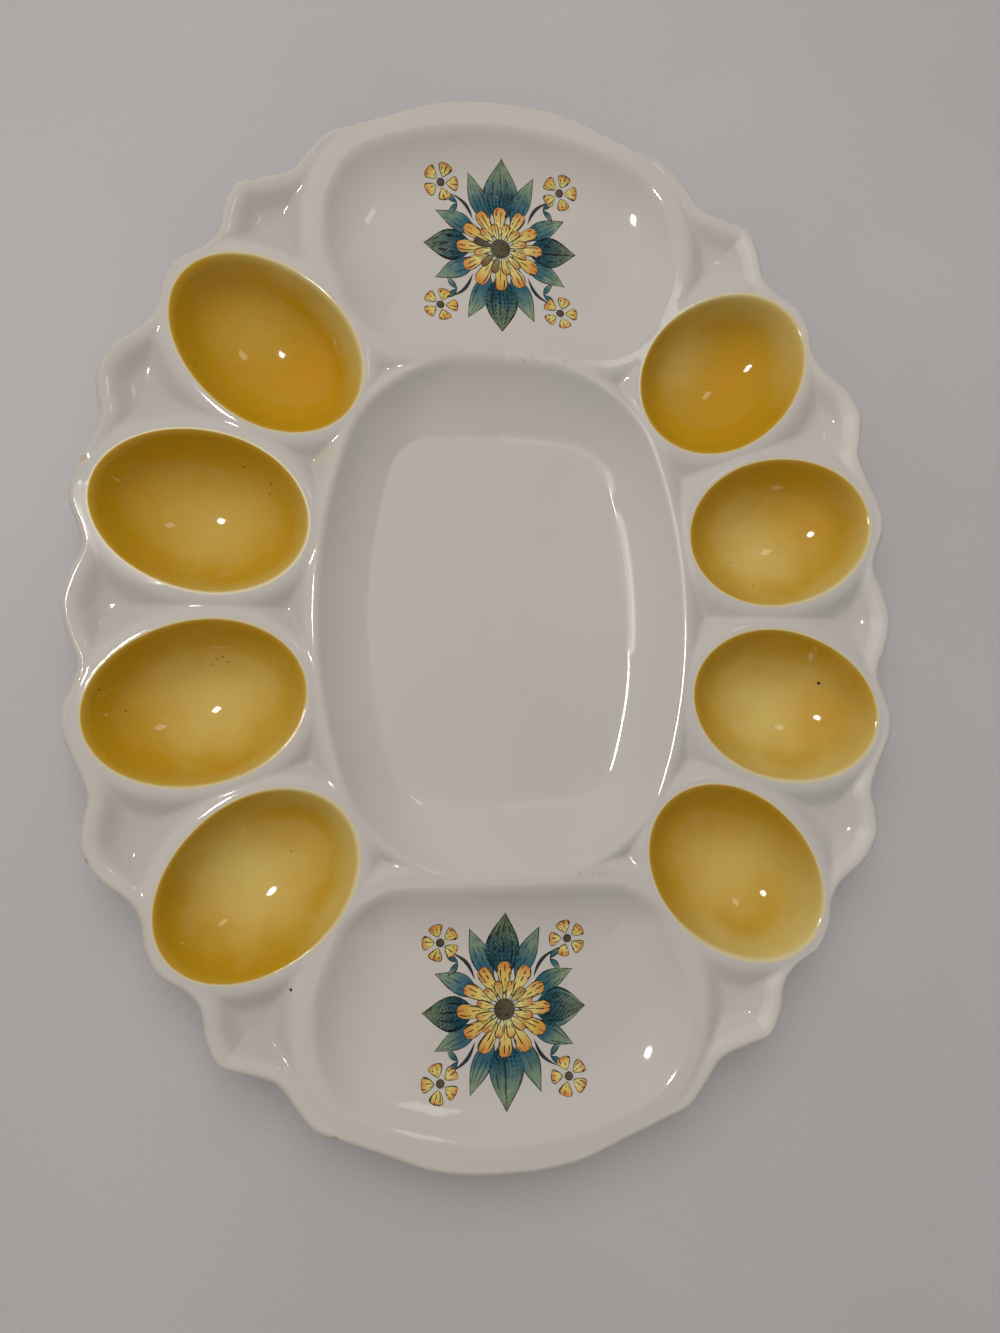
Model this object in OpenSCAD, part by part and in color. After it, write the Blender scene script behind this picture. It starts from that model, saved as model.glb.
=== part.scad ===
// Deviled egg platter in white-glazed earthenware.
// Eight egg wells with raised collars stand round a bowed centre basin.
// A shallow compartment lies at each end, and a scalloped rim runs round it all.
// Origin: centre of the foot ring on the table. X is the width, Y the length, Z up.

/* [Platter] */
// Length over the end scallops
platter_l = 330; // [318:1:350]
// Width over the side scallops
platter_w = 257; // [250:1:275]
// Height from the table to the top of the rims
platter_h = 25; // [23:0.5:32]
// Thickness of the fired clay wall
wall = 5; // [3.5:0.1:6]

/* [Rim] */
// Width of the rounded bead that follows the scallops
bead_w = 4; // [2.5:0.1:6]
// How far the underside tucks in below the edge
tuck = 12; // [8:0.5:16]
// Depth of the pockets that lie between the collars
pocket_d = 3.6; // [2.5:0.1:6]
// Run of the pocket wall from the bead down to the pocket floor
pocket_slope = 4.5; // [2:0.1:8]

/* [Egg wells] */
// Length of a well from its widest line to its pointed, outer end
well_out = 33; // [30:0.1:35]
// Length of a well from its widest line to its blunt, inner end
well_in = 30; // [27:0.1:31]
// Width of a well at the land
well_w = 47.5; // [43:0.1:50]
// Depth of a well below the land
well_d = 16.5; // [13:0.1:17]
// Width of the raised collar round a well
collar_w = 3.2; // [2.5:0.1:5]
// Run of the collar's outer slope
collar_slope = 5.2; // [3:0.1:7]
// Thickness of the yellow glaze in a well
glaze_t = 0.5; // [0.3:0.05:0.8]
// Gap that is left behind the yellow glaze
glaze_gap = 0.1; // [0.05:0.01:0.2]

/* [Centre basin] */
// Length of the basin at its rim
basin_l = 159; // [145:1:162]
// Width of the basin at its rim
basin_w = 114; // [100:1:117]
// Depth of the basin
basin_d = 10; // [7:0.1:15]
// Radius of the basin's bowed long sides
basin_side_r = 162; // [140:1:220]
// Radius of the basin's bowed short sides
basin_end_r = 220; // [160:1:320]
// Radius of the basin's corners at its rim
basin_corner_r = 20; // [16:0.5:28]
// Radius of the corners of the basin's flat floor
floor_corner_r = 8; // [5:0.5:14]
// Run of the long side walls from the rim down to the floor
side_run = 15.5; // [10:0.5:19]
// Run of the gentler end walls from the rim down to the floor
end_run = 21.5; // [14:0.5:26]
// Width of the ridge round the basin
ridge_w = 2.6; // [2:0.1:5]
// Run of the outer slope of the ridges
ridge_slope = 3.6; // [1.5:0.1:5]

/* [End compartments] */
// Width of an end compartment at its widest
end_w = 119; // [110:1:124]
// Width of an end compartment beside the basin
waist_w = 98; // [90:1:101]
// Depth of an end compartment
end_d = 7.5; // [5:0.1:13]
// Radius of the outer arc of an end compartment
end_arc_r = 97; // [85:1:120]
// Radius of the two inner corners
waist_r = 13; // [10:0.5:18]
// Radius of the two outer shoulders
shoulder_r = 26; // [22:0.5:32]
// Distance from the outer arc to the widest line
shoulder_drop = 31; // [28:0.5:36]
// Run of the long, gentle wall
end_slope = 11; // [6:0.5:12]
// Width of the land between the outer arc and the edge of the platter
end_band = 9; // [6:0.5:12]
// Width of the land beside an end compartment
end_ridge_w = 7; // [4:0.5:8]
// Width of the divider between the basin and an end compartment
divider_w = 3.4; // [2:0.1:6]

/* [Foot] */
// Width of the foot ring
foot_w = 5; // [3:0.5:8]
// How far the foot ring reaches outside the basin's floor
foot_reach = 5.5; // [1:0.5:7]

/* [Decoration] */
// Length of the fired-on decoration
print_l = 58; // [40:1:62]
// Width of the fired-on decoration
print_w = 50; // [36:1:60]
// Thickness of the enamel
print_t = 0.3; // [0.2:0.05:0.5]
// Bare line between the blossoms and the leaves
print_line = 0.4; // [0.2:0.05:0.8]
// Petals on the large blossom
petals = 12; // [8:1:16]

/* [Hidden] */

left = -1;
right = 1;
far = 1;
near = -1;

// How far cutters run past the faces that they cut
overrun = 2;
// Thickness of one slice of a lofted form
slice_t = 0.05;

// Radius of the egg across its axis, and the height of that axis above the land
well_r = (pow(well_w / 2, 2) + pow(well_d, 2)) / (2 * well_d);
well_lift = well_r - well_d;
// Ratio between the whole egg's length and what shows at the land
egg_stretch_share = well_r / (well_w / 2);

pocket_z = platter_h - pocket_d;
web_z = pocket_z - wall;
end_inner_y = basin_l / 2 + divider_w;
end_outer_y = platter_l / 2 - end_band;
print_y = (end_inner_y + end_outer_y) / 2;

// One quarter of the scalloped edge, from the middle of an end to the middle of a
// side, as shares of half the width and half the length: two points to a lobe or valley
edge_shares = [
    [0, 1], [0.156, 0.989], [0.296, 0.948], [0.366, 0.927], [0.432, 0.905],
    [0.475, 0.867], [0.517, 0.824], [0.584, 0.804], [0.642, 0.788],
    [0.671, 0.742], [0.682, 0.695], [0.712, 0.664], [0.770, 0.635],
    [0.803, 0.591], [0.814, 0.542], [0.840, 0.509], [0.903, 0.470],
    [0.940, 0.421], [0.939, 0.373], [0.931, 0.333], [0.953, 0.285],
    [0.985, 0.230], [0.991, 0.182], [0.968, 0.133], [0.961, 0.100],
    [0.984, 0.055], [1, 0]
];
edge_steps = 2;

// Section of the rim from the underside up over the bead: how far each point lies
// inside the edge, as a share of the tuck, and how high, as a share of the rim height
rim_section_shares = [[1, 0], [0.32, 0.2], [0, 0.78], [0.045, 0.95], [0.15, 1]];

// Sections of the basin's wall, which is steep at the rim and meets the floor in a line,
// and of an end compartment's wall, which flattens into the floor, as run and depth
basin_wall_shares = [[0, 0], [0.3, 0.44], [0.6, 0.75], [1, 1]];
end_wall_shares = [[0, 0], [0.18, 0.3], [0.45, 0.58], [1, 0.86], [1.9, 1]];
// Plainer sections for the backs of the same walls
basin_back_shares = [[0, 0], [0.45, 0.61], [1, 1]];
end_back_shares = [[0, 0], [0.45, 0.58], [1.6, 1]];

// How far the bead's inner lip and the edges of the lands lie below the top of the
// platter, as shares of the pocket's depth
bead_lip_share = 0.08;
land_edge_share = 0.15;
// How much longer a land's slope is where it runs on below the pocket floor
run_on_share = 1 + overrun / (pocket_d * (1 - land_edge_share));

// Place of the widest point of the two wells of a quarter, as shares of half the
// width and half the length, and the turn of their long axis from X
well_place_shares = [[0.556, 0.480], [0.694, 0.169]];
well_turns = [40, 13];

// Blossoms: reach of the large and of the small ones as shares of the print's length,
// and the place of the small ones as shares of its width and length
large_blossom_share = 0.25;
small_blossom_share = 0.1;
small_place_shares = [0.39, 0.35];
small_petals = 5;
// A blossom's disc, the length of a petal and its least breadth, as shares of the reach
disc_share = 0.5;
petal_share = 0.36;
petal_least_share = 0.08;

// Leaves of one quarter: the tip of each as shares of the print's width and length, and
// its breadth as a share of the width
leaf_tip_shares = [[0.5, 0], [0.424, 0.194], [0.217, 0.42], [0, 0.5]];
leaf_breadth_shares = [0.2, 0.12, 0.12, 0.2];

// Closed curve through a list of points, with even steps between them
function spline(pts, steps) = [
    for (i = [0 : len(pts) - 1], s = [0 : steps - 1])
        let (
            n = len(pts),
            a = pts[(i + n - 1) % n],
            b = pts[i],
            c = pts[(i + 1) % n],
            d = pts[(i + 2) % n],
            t = s / steps
        )
        (2 * b + (c - a) * t + (2 * a - 5 * b + 4 * c - d) * t * t
            + (3 * b - a - 3 * c + d) * t * t * t) / 2
];

// The whole edge, from one quarter, as shares
function whole_edge(q) = let (
    n = len(q) - 1,
    half = concat(q, [for (i = [n - 1 : -1 : 0]) [q[i][0], -q[i][1]]])
) concat(half, [for (i = [2 * n - 1 : -1 : 1]) [-half[i][0], half[i][1]]]);

edge_curve_shares = spline(whole_edge(edge_shares), edge_steps);

// The edge drawn in by a distance and lifted to a height
function edge_ring(inset, z) = [
    for (p = edge_curve_shares)
        [p[0] * (platter_w / 2 - inset), p[1] * (platter_l / 2 - inset), z]
];

// Solid through a stack of rings that have the same number of points, lowest first
module loft(rings) {
    n = len(rings[0]);
    top = len(rings) - 1;
    side = [
        for (r = [0 : top - 1], i = [0 : n - 1])
            let (j = (i + 1) % n)
            each [
                [r * n + i, r * n + j, (r + 1) * n + i],
                [r * n + j, (r + 1) * n + j, (r + 1) * n + i]
            ]
    ];
    polyhedron(
        points = [for (ring = rings) each ring],
        faces = concat(
            [[for (i = [0 : n - 1]) i]],
            side,
            [[for (i = [n - 1 : -1 : 0]) top * n + i]]
        )
    );
}

// Plain slab of the platter with its rounded, tucked edge
module slab() {
    rim_h = platter_h - web_z;
    loft([
        for (s = rim_section_shares)
            edge_ring(s[0] * tuck, web_z + s[1] * rim_h)
    ]);
}

// Space inside the bead, down to the pocket floor
module gallery() {
    loft([
        edge_ring(bead_w + pocket_slope, pocket_z),
        edge_ring(bead_w, platter_h - pocket_d * bead_lip_share),
        edge_ring(bead_w, platter_h + overrun)
    ]);
}

// Puts its children at a well: side is left or right, number runs 1 to 4 from the far end
module at_well(side, number) {
    quarter = number < 3 ? number - 1 : 4 - number;
    end = number < 3 ? far : near;
    place = well_place_shares[quarter];
    mirror([side == left ? 1 : 0, 0, 0])
        mirror([0, end == near ? 1 : 0, 0])
            translate([place[0] * platter_w / 2, place[1] * platter_l / 2, 0])
                rotate([0, 0, well_turns[quarter]])
                    children();
}

// Half section of the egg, from its pointed end to its blunt end; grow makes it larger,
// and spread is the factor that puts flat facets outside the true curve
function egg_section(grow, steps, spread = 1) = [
    for (i = [0 : steps])
        let (
            t = 180 * i / steps,
            reach = (t < 90 ? well_out : well_in) * egg_stretch_share + grow
        )
        [(well_r + grow) * sin(t) * spread, reach * cos(t) * spread]
];

// Turns a half section about the egg's long axis, which lies level above the land
module turn_egg(section, round_steps) {
    translate([0, 0, platter_h + well_lift])
        rotate([0, 90, 0])
            rotate_extrude($fn = round_steps)
                polygon(section);
}

// Outline of the well at the land, drawn out by a distance
module egg_outline(grow) {
    polygon([
        for (a = [0 : 12 : 348])
            [
                ((abs(a - 180) > 90 ? well_out : well_in) + grow) * cos(a),
                (well_w / 2 + grow) * sin(a)
            ]
    ]);
}

// Bowed rectangle of the basin, drawn in by a distance; way goes from 0 at the rim to 1
// at the floor, which lies further in at the ends and has tighter corners
module basin_outline(inset, way = 0) {
    corner_r = basin_corner_r + way * (floor_corner_r - basin_corner_r);
    half_w = basin_w / 2 - way * side_run;
    half_l = basin_l / 2 - way * end_run;
    offset(r = corner_r, $fn = 28)
        offset(delta = -corner_r - inset)
            intersection_for (s = [-1, 1]) {
                intersection() {
                    translate([s * (basin_side_r - half_w), 0])
                        circle(r = basin_side_r, $fn = 72);
                    translate([0, s * (basin_end_r - half_l)])
                        circle(r = basin_end_r, $fn = 88);
                }
            }
}

// Outline of the far end compartment, drawn in by a distance
module end_outline(inset) {
    arc_y = end_outer_y - end_arc_r;
    offset(delta = -inset)
        intersection() {
            translate([0, arc_y])
                circle(r = end_arc_r, $fn = 90);
            hull() {
                for (s = [left, right]) {
                    translate([s * (waist_w / 2 - waist_r), end_inner_y + waist_r])
                        circle(r = waist_r, $fn = 24);
                    translate([s * (end_w / 2 - shoulder_r), end_outer_y - shoulder_drop])
                        circle(r = shoulder_r, $fn = 40);
                    translate([s * waist_r, end_outer_y - waist_r])
                        circle(r = waist_r, $fn = 24);
                }
            }
        }
}

// The basin as a solid: its hollow, or with grow the back of its wall
module basin_form(section, grow) {
    hull()
        for (s = section)
            translate([0, 0, platter_h - grow - s[1] * basin_d])
                linear_extrude(s[1] > 0 || grow > 0 ? slice_t : overrun)
                    basin_outline(-grow, s[0]);
}

// The far end compartment as a solid: its hollow, or with grow the back of its wall
module end_form(section, grow) {
    hull()
        for (s = section)
            translate([0, 0, platter_h - grow - s[1] * end_d])
                linear_extrude(s[1] > 0 || grow > 0 ? slice_t : overrun)
                    end_outline(s[0] * end_slope - grow);
}

// Puts its children at the far end and, turned round, at the near end
module at_ends() {
    children();
    rotate([0, 0, 180])
        children();
}

// Every well of the platter
module at_wells() {
    for (side = [left, right], number = [1 : 4])
        at_well(side, number)
            children();
}

// Solid between two outlines: the first at the land, the second below the pocket floor
module land() {
    hull() {
        translate([0, 0, pocket_z - overrun])
            linear_extrude(slice_t)
                children(1);
        translate([0, 0, platter_h - pocket_d * land_edge_share])
            linear_extrude(overrun)
                children(0);
    }
}

// Raised lands that stand in the gallery: collars round the wells, ridges round the tubs
module lands() {
    at_wells()
        land() {
            egg_outline(collar_w);
            egg_outline(collar_w + collar_slope * run_on_share);
        }
    land() {
        basin_outline(-ridge_w);
        basin_outline(-ridge_w - ridge_slope * run_on_share);
    }
    at_ends()
        land() {
            end_outline(-end_ridge_w);
            end_outline(-end_ridge_w - ridge_slope * run_on_share);
        }
}

// Back of a well, which shows under the platter
module cup() {
    cup_steps = 9;
    cup_round = 20;
    intersection() {
        turn_egg(egg_section(wall, cup_steps), cup_round);
        linear_extrude(pocket_z)
            egg_outline(2 * wall);
    }
}

// Ring under the edge of the basin's floor that carries the platter
module foot_ring() {
    linear_extrude(platter_h - basin_d - wall / 2)
        difference() {
            basin_outline(-foot_reach, 1);
            basin_outline(foot_w - foot_reach, 1);
        }
}

module platter_body() {
    well_steps = 14;
    well_round = 30;
    spread = 1 / (cos(90 / well_steps) * cos(180 / well_round));
    color("ivory")
        difference() {
            union() {
                slab();
                at_wells()
                    cup();
                basin_form(basin_back_shares, wall);
                at_ends()
                    end_form(end_back_shares, wall);
                foot_ring();
            }
            difference() {
                gallery();
                lands();
            }
            at_wells()
                turn_egg(egg_section(0, well_steps, spread), well_round);
            basin_form(basin_wall_shares, 0);
            at_ends()
                end_form(end_wall_shares, 0);
        }
}

// Coloured glaze that lines one well, flush with the land
module yellow_lining(side, number) {
    lining_steps = 36;
    lining_round = 96;
    back = egg_section(-glaze_gap, lining_steps);
    front = egg_section(-glaze_gap - glaze_t, lining_steps);
    ring = concat(back, [for (i = [lining_steps : -1 : 0]) front[i]]);
    color("goldenrod")
        at_well(side, number)
            intersection() {
                turn_egg(ring, lining_round);
                linear_extrude(platter_h)
                    square(2 * (well_out + well_in), center = true);
            }
}

// Flower with rounded petals round a disc
module blossom(reach, count) {
    circle(r = reach * disc_share, $fn = 2 * count);
    for (i = [0 : count - 1])
        rotate(360 * i / count)
            translate([reach * (1 - petal_share), 0])
                scale([petal_share, petal_share * 4 / count + petal_least_share])
                    circle(r = reach, $fn = 10);
}

// Leaf that points along X from the origin
module leaf(reach, breadth) {
    r = (reach * reach + breadth * breadth) / (4 * breadth);
    intersection_for (s = [-1, 1])
        translate([reach / 2, s * (r - breadth / 2)])
            circle(r = r, $fn = 60);
}

// Yellow part of the decoration, laid out about its own middle
module blossom_layout() {
    blossom(print_l * large_blossom_share, petals);
    for (x = [-1, 1], y = [-1, 1])
        translate([x * print_w * small_place_shares[0], y * print_l * small_place_shares[1]])
            blossom(print_l * small_blossom_share, small_petals);
}

// Green part of the decoration, laid out about its own middle
module leaf_layout() {
    for (x = [0, 1], y = [0, 1], i = [0 : len(leaf_tip_shares) - 1]) {
        tip = [leaf_tip_shares[i][0] * print_w, leaf_tip_shares[i][1] * print_l];
        mirror([x, 0])
            mirror([0, y])
                rotate(atan2(tip[1], tip[0]))
                    leaf(norm(tip), leaf_breadth_shares[i] * print_w);
    }
}

// Enamel skin on the floor of one end compartment, in the outline of its children
module enamel(end) {
    rotate([0, 0, end == far ? 0 : 180])
        intersection() {
            difference() {
                end_form(end_wall_shares, 0);
                translate([0, 0, print_t])
                    end_form(end_wall_shares, 0);
            }
            translate([0, print_y, 0])
                linear_extrude(platter_h)
                    children();
        }
}

module blossoms(end) {
    color("orange")
        enamel(end)
            blossom_layout();
}

module leaves(end) {
    color("darkslategray")
        enamel(end)
            difference() {
                leaf_layout();
                offset(delta = print_line)
                    blossom_layout();
            }
}

platter_body();
yellow_lining(left, 1);  // yellow_lining_left_1
yellow_lining(left, 2);  // yellow_lining_left_2
yellow_lining(left, 3);  // yellow_lining_left_3
yellow_lining(left, 4);  // yellow_lining_left_4
yellow_lining(right, 1);  // yellow_lining_right_1
yellow_lining(right, 2);  // yellow_lining_right_2
yellow_lining(right, 3);  // yellow_lining_right_3
yellow_lining(right, 4);  // yellow_lining_right_4
blossoms(far);  // far_blossoms
leaves(far);  // far_leaves
blossoms(near);  // near_blossoms
leaves(near);  // near_leaves
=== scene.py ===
"""Deviled egg platter: white-glazed earthenware with eight airbrushed yellow wells."""

import math

import bpy
import numpy as np
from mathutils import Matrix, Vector
from mathutils.geometry import delaunay_2d_cdt


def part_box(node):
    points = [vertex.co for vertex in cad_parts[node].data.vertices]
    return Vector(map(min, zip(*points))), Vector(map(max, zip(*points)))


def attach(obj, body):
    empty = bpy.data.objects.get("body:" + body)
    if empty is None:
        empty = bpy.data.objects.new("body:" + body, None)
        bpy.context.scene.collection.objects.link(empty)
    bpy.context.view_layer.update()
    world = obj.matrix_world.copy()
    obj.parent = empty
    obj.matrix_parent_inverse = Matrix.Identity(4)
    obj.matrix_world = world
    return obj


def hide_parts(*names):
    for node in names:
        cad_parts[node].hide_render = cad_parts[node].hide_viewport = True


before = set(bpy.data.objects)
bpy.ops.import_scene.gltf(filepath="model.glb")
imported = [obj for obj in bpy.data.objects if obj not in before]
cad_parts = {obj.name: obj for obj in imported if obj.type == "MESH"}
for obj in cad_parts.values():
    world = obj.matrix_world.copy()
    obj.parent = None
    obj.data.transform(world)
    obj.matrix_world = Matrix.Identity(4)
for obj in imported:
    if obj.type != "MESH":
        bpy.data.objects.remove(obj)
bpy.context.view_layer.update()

# The camera
# The photograph was taken by hand, almost straight down from about 0.3 m above the
# platter and a little to the left of its middle. Places are in metres, turns in degrees.
camera_place = (-0.05546, -0.04484, 0.32143)
camera_turn = (5.393, -10.163, -0.296)
camera_lens = 27.007
camera_film = 36.0


def new_object(name, data):
    """Object in the scene with the data that it shows."""
    made = bpy.data.objects.new(name, data)
    bpy.context.scene.collection.objects.link(made)
    return made


camera_data = bpy.data.cameras.new("camera")
camera_data.lens = camera_lens
camera_data.sensor_width = camera_film
camera_data.clip_start = 0.01
camera = new_object("camera", camera_data)
camera.location = camera_place
camera.rotation_euler = [math.radians(turn) for turn in camera_turn]
bpy.context.scene.camera = camera

# The lights
# A wide soft panel high over the far left and a small lamp almost overhead give the shade.
# The lamp is mirrored in the glaze as one bright spot in each well, and as streaks along
# the ridges and creases; a dim window far on the right is only seen mirrored in the wells.
sky_colour = (1.0, 0.985, 0.97, 1)
sky_strength = 0.22
lamps = {
    "panel": {"size": (1.5, 1.3), "place": (-0.38, 0.80, 1.57), "watts": 12.9,
              "colour": (1.0, 0.97, 0.94), "lights": True, "mirrored": False},
    "lamp": {"size": (0.20, 0.14), "place": (-0.57, 0.30, 1.89), "watts": 6.0,
             "colour": (1.0, 0.96, 0.90), "lights": True, "mirrored": False},
    "lamp_mirrored": {"size": (0.20, 0.14), "place": (-0.57, 0.30, 1.89), "watts": 20.0,
                      "colour": (1.0, 0.96, 0.90), "lights": False, "mirrored": True},
    "window_mirrored": {"size": (0.18, 0.26), "place": (0.60, 0.82, 1.62), "watts": 0.42,
                        "colour": (1.0, 0.96, 0.88), "lights": False, "mirrored": True},
}

for name, lamp in lamps.items():
    light = bpy.data.lights.new(name, "AREA")
    light.shape = "RECTANGLE"
    light.size, light.size_y = lamp["size"]
    light.energy = lamp["watts"]
    light.color = lamp["colour"]
    holder = new_object(name, light)
    holder.location = lamp["place"]
    holder.rotation_euler = (-Vector(lamp["place"])).to_track_quat("-Z", "Y").to_euler()
    holder.visible_diffuse, holder.visible_glossy = lamp["lights"], lamp["mirrored"]

world = bpy.data.worlds.new("soft_room")
world.use_nodes = True
sky = world.node_tree.nodes["Background"]
sky.inputs["Color"].default_value = sky_colour
sky.inputs["Strength"].default_value = sky_strength
bpy.context.scene.world = world
bpy.context.scene.view_settings.view_transform = "Standard"


# The floor
# A plain pale table top: a hard, faintly mottled laminate with a dull shine.
# It is one flat square, far larger than what the camera sees.
floor_reach = 2.0
floor_colour = (0.555, 0.539, 0.546, 1)
floor_mottle = (0.607, 0.591, 0.600, 1)


def add(tree, kind, inputs=None, **settings):
    """New shader node with its settings and its inputs, which are values or sockets."""
    node = tree.nodes.new("ShaderNode" + kind)
    for key, value in settings.items():
        setattr(node, key, value)
    for key, value in (inputs or {}).items():
        if isinstance(value, bpy.types.NodeSocket):
            tree.links.new(value, node.inputs[key])
        else:
            node.inputs[key].default_value = value
    return node


def calc(tree, operation, first, second=0.0, third=0.0):
    """Result of one sum."""
    inputs = {0: first, 1: second, 2: third}
    return add(tree, "Math", inputs, operation=operation).outputs[0]


def calc_vector(tree, operation, first, second=(0, 0, 0)):
    """Result of one sum on vectors: a number for a distance, a length or a dot product."""
    node = add(tree, "VectorMath", {0: first, 1: second}, operation=operation)
    number = operation in ("DISTANCE", "LENGTH", "DOT_PRODUCT")
    return node.outputs["Value" if number else "Vector"]


def ease(tree, value, start, end, low=0.0, high=1.0):
    """Smooth step of a value from start to end, given out from low to high."""
    inputs = {"Value": value, "From Min": start, "From Max": end,
              "To Min": low, "To Max": high}
    step = add(tree, "MapRange", inputs, interpolation_type="SMOOTHSTEP")
    return step.outputs["Result"]


def tint(tree, factor, under, over):
    """Colour over another by a factor."""
    inputs = {0: factor, 6: under, 7: over}
    return add(tree, "Mix", inputs, data_type="RGBA").outputs[2]


def mottle(tree, place, scale, detail=2.0, rough=0.5):
    """Cloudy noise from 0 to 1."""
    inputs = {"Vector": place, "Scale": scale, "Detail": detail, "Roughness": rough}
    return add(tree, "TexNoise", inputs).outputs["Fac"]


def mesh_value(tree, name):
    """Value that the mesh holds under a name, point by point."""
    return add(tree, "Attribute", attribute_name=name).outputs["Fac"]


def new_material(name, **shader):
    """Material with one Principled shader, whose plain values are set here."""
    material = bpy.data.materials.new(name)
    material.use_nodes = True
    surface = material.node_tree.nodes["Principled BSDF"]
    for key, value in shader.items():
        surface.inputs[key.replace("_", " ").title().replace("Ior", "IOR")].default_value = value
    return material, material.node_tree, surface


def object_place(tree):
    """Place in the platter's own frame, in metres."""
    return add(tree, "TexCoord").outputs["Object"]


floor_material, tree, surface = new_material(
    "pale_laminate", roughness=0.5, specular_ior_level=0.2
)
place = object_place(tree)
cloud = mottle(tree, place, 6.0, 3.0)
grain = mottle(tree, place, 900.0, 2.0, 0.7)
shade = calc(tree, "ADD", calc(tree, "MULTIPLY", cloud, 0.6), calc(tree, "MULTIPLY", grain, 0.4))
tree.links.new(
    tint(tree, ease(tree, shade, 0.35, 0.65), floor_colour, floor_mottle),
    surface.inputs["Base Color"],
)
tree.links.new(ease(tree, grain, 0.3, 0.7, 0.46, 0.58), surface.inputs["Roughness"])
grain_bump = add(tree, "Bump", {"Height": grain, "Strength": 0.06, "Distance": 0.0002})
tree.links.new(grain_bump.outputs["Normal"], surface.inputs["Normal"])

floor_mesh = bpy.data.meshes.new("floor")
corners = [(x * floor_reach, y * floor_reach, 0)
           for x, y in ((-1, -1), (1, -1), (1, 1), (-1, 1))]
floor_mesh.from_pydata(corners, [], [(0, 1, 2, 3)])
floor_mesh.materials.append(floor_material)
floor = new_object("floor", floor_mesh)


# The platter
# One slip-cast piece of white earthenware, dipped in a warm white glaze. Its edge is
# scalloped, with a rounded bead; collars stand round the egg wells, and a bowed basin
# and two end compartments lie in its middle. Sizes here are in millimetres.
MM = 0.001
box_low, box_high = (np.array(corner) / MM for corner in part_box("platter_body"))
edge_margin = 0.05
half = (box_high - box_low)[:2] / 2 - edge_margin
top_z = box_high[2]

# The rim's bead, how the underside tucks in from the edge, the pockets behind the bead
# with where their slopes start, and the wall under them
bead_w, bead_drop, bead_crown_r = 4.0, 1.9, 9.0
tuck, tuck_bend, tuck_round = 12.0, 2.6, 0.8
pocket_d, pocket_slope, pocket_fall = 3.6, 0.62, 0.13
slope_start, fall_start = 0.6, 4.0
wall = 5.0

# The egg wells: blunt and pointed half of the length, width, depth, lip and collar
well_out, well_in, well_w, well_d = 33.0, 30.0, 47.5, 16.5
well_r = ((well_w / 2) ** 2 + well_d**2) / (2 * well_d)
well_lift = well_r - well_d
well_stretch = well_r / (well_w / 2)
lip_lift, lip_reach = 1.8, 10.0
collar_w = 3.2
well_shares = ((0.556, 0.480), (0.694, 0.169))
well_turns = (40.0, 13.0)

# The basin: its bowed outline, its hollow wall, the ridge round it, and the crease at the
# wall's foot, which is sharp on the far side and softens over a run towards the near end
basin_l, basin_w, basin_d = 159.0, 114.0, 10.0
basin_side_r, basin_end_r, basin_corner_r = 162.0, 220.0, 20.0
side_run, end_run, floor_corner_r = 15.5, 21.5, 8.0
foot_of_wall_share, wall_bend = 0.62, 2.5
crease_sharp, crease_softer, crease_run = 0.1, 0.5, (4, 24)
ridge_w = 2.6

# The end compartments: waist, shoulders, bowed outer end, and their hollow wall with its
# rise past the outline
end_w, waist_w, end_d = 119.0, 98.0, 7.5
end_arc_r, waist_r, shoulder_r, shoulder_drop = 97.0, 13.0, 26.0, 31.0
end_wall_run, end_wall_bend, end_rise = 22.0, 2.3, 1.1
end_ridge_w = 7.0
end_band = 9.0
divider_w = 3.4
end_inner_y = basin_l / 2 + divider_w
end_outer_y = half[1] + edge_margin - end_band
end_middle_y = (end_inner_y + end_outer_y) / 2

# The foot ring: breadth, distance out from the basin's floor, and how its sides slope
foot_w, foot_reach = 5.0, 5.5
foot_slope_in, foot_slope_out = 1.2, 2.6

# Fillets where the forms meet, on the top and on the underside
well_fillet, basin_fillet, end_fillet = 2.2, 1.3, 1.5
land_fillet, pocket_fillet = 1.3, 0.6
ridge_fillet, bead_fillet = 2.0, 2.5
under_fillet, under_cup_fillet = 3.0, 2.5

# How far past its outline a well, and the basin or an end, still has a height of its own,
# and the height over every form that stands in for it beyond that
well_reach, tub_reach, clear_above = 6.0, 5.0, 9.0

# One quarter of the scalloped edge, as shares of half the width and half the length
edge_shares = (
    (0, 1), (0.156, 0.989), (0.296, 0.948), (0.366, 0.927), (0.432, 0.905),
    (0.475, 0.867), (0.517, 0.824), (0.584, 0.804), (0.642, 0.788),
    (0.671, 0.742), (0.682, 0.695), (0.712, 0.664), (0.770, 0.635),
    (0.803, 0.591), (0.814, 0.542), (0.840, 0.509), (0.903, 0.470),
    (0.940, 0.421), (0.939, 0.373), (0.931, 0.333), (0.953, 0.285),
    (0.985, 0.230), (0.991, 0.182), (0.968, 0.133), (0.961, 0.100),
    (0.984, 0.055), (1, 0),
)

# Slight warps from the mould along the left side: place, reach, and fall in X and in Y.
# Each is level at a share of its reach, and slow waves run over the whole casting
warps = ((-118, -8, 12, 0.026, 0.012), (-125, 24, 12, 0.002, 0.018))
warp_level_share, wave_height = 0.45, 0.03

# Small chips in the glaze along the rim, and how wide and deep they are
chips = ((-77.8, 131.6), (-123.4, 42.2), (-119.2, -72.6), (-50.1, -151.2), (86.2, 124.2))
chip_w, chip_d = 1.1, 0.35


def closed_curve(points, steps):
    """Smooth closed curve through points, with even steps between them."""
    a, b, c, d = (np.roll(points, shift, 0)[:, None] for shift in (1, 0, -1, -2))
    t = (np.arange(steps) / steps)[:, None]
    curve = (2 * b + (c - a) * t + (2 * a - 5 * b + 4 * c - d) * t**2
             + (3 * b - a - 3 * c + d) * t**3) / 2
    return curve.reshape(-1, 2)


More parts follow.
